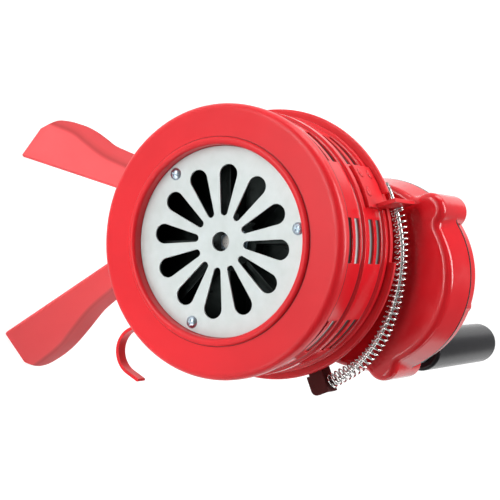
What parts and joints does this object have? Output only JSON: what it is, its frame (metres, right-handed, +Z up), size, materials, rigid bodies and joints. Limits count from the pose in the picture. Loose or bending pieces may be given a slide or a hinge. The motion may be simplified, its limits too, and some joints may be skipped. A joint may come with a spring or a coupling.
{
  "type": "hand crank siren",
  "caption": "Red hand-cranked mechanical siren: slotted drum with petal grille, sprung shutter lever, gearbox with crank grip, and two stamped legs.",
  "frame": {"origin": "on the ground plane, under the middle of the siren's bounding box", "axes": "+Z up, +Y along the drum's axis from the grille to the crank, +X to the right seen from the grille side"},
  "size_m": [0.1912, 0.275, 0.3195],
  "materials": {
    "red_paint": "gloss",
    "red_casting": "gloss",
    "plated_steel": "satin",
    "zinc_screws": "gloss",
    "machined_steel": "satin",
    "rotor_aluminium": "satin",
    "bare_metal": "satin",
    "rotor_casting": "satin",
    "bronze": "satin",
    "gasket": "matte",
    "grip_plastic": "gloss"
  },
  "bodies": {
    "housing": {"front_ring": "red_paint", "grille_plate": "plated_steel", "grille_screws": "zinc_screws", "stator_drum": "bare_metal", "bulkhead": "red_paint", "bulkhead_screws": "zinc_screws", "neck_screws": "zinc_screws", "gearbox_housing": "red_casting", "cover_gasket": "gasket", "gearbox_cover": "red_casting", "cover_screws": "zinc_screws", "rotor_bearings": "machined_steel", "layshaft_bushes": "bronze", "crank_bushes": "bronze", "stop_pin": "zinc_screws", "spring_anchor": "red_paint", "anchor_screws": "zinc_screws", "guide_rod": "plated_steel", "return_spring": "plated_steel", "left_leg": "red_paint", "right_leg": "red_paint", "leg_screws": "zinc_screws"},
    "shutter": {"shutter_sleeve": "red_paint", "spring_bracket": "red_paint", "bracket_rivets": "red_paint", "trigger_lever": "red_paint", "lever_rivets": "red_paint"},
    "rotor": {"rotor_wheel": "rotor_casting", "rotor_rim": "rotor_aluminium", "rotor_shaft": "machined_steel", "rotor_washer": "zinc_screws", "rotor_nut": "zinc_screws", "rotor_pinion": "machined_steel"},
    "layshaft": {"layshaft": "machined_steel", "layshaft_gear": "machined_steel"},
    "crank": {"crank_gear": "machined_steel", "crank_shaft": "machined_steel", "crank_collar": "plated_steel", "crank_arm": "plated_steel", "crank_nut": "plated_steel", "grip_pin": "plated_steel"},
    "grip": {"grip": "grip_plastic", "grip_cap": "grip_plastic"}
  },
  "joints": [
    {"name": "crank_turn", "type": "hinge", "parent": "housing", "child": "crank", "pos_m": [0.01811, -0.00995, 0.25497], "axis": [0, 1, 0], "continuous": true},
    {"name": "layshaft_turn", "type": "hinge", "parent": "housing", "child": "layshaft", "pos_m": [0.02489, -0.02495, 0.21352], "axis": [0, 1, 0], "continuous": true},
    {"name": "rotor_turn", "type": "hinge", "parent": "housing", "child": "rotor", "pos_m": [-0.00189, -0.06995, 0.2], "axis": [0, 1, 0], "continuous": true},
    {"name": "grip_turn", "type": "hinge", "parent": "crank", "child": "grip", "pos_m": [0.06872, 0.07005, 0.27073], "axis": [0, 1, 0], "continuous": true},
    {"name": "shutter_turn", "type": "hinge", "parent": "housing", "child": "shutter", "pos_m": [-0.00189, -0.09595, 0.2], "axis": [0, 1, 0], "range_deg": [0, 22], "stiffness_Nm_per_rad": 1.2, "springref_deg": -20.05, "deforming": ["return_spring"]}
  ],
  "couplings": [
    {"joint": "layshaft_turn", "follows": "crank_turn", "ratio": -6},
    {"joint": "rotor_turn", "follows": "crank_turn", "ratio": 24}
  ]
}
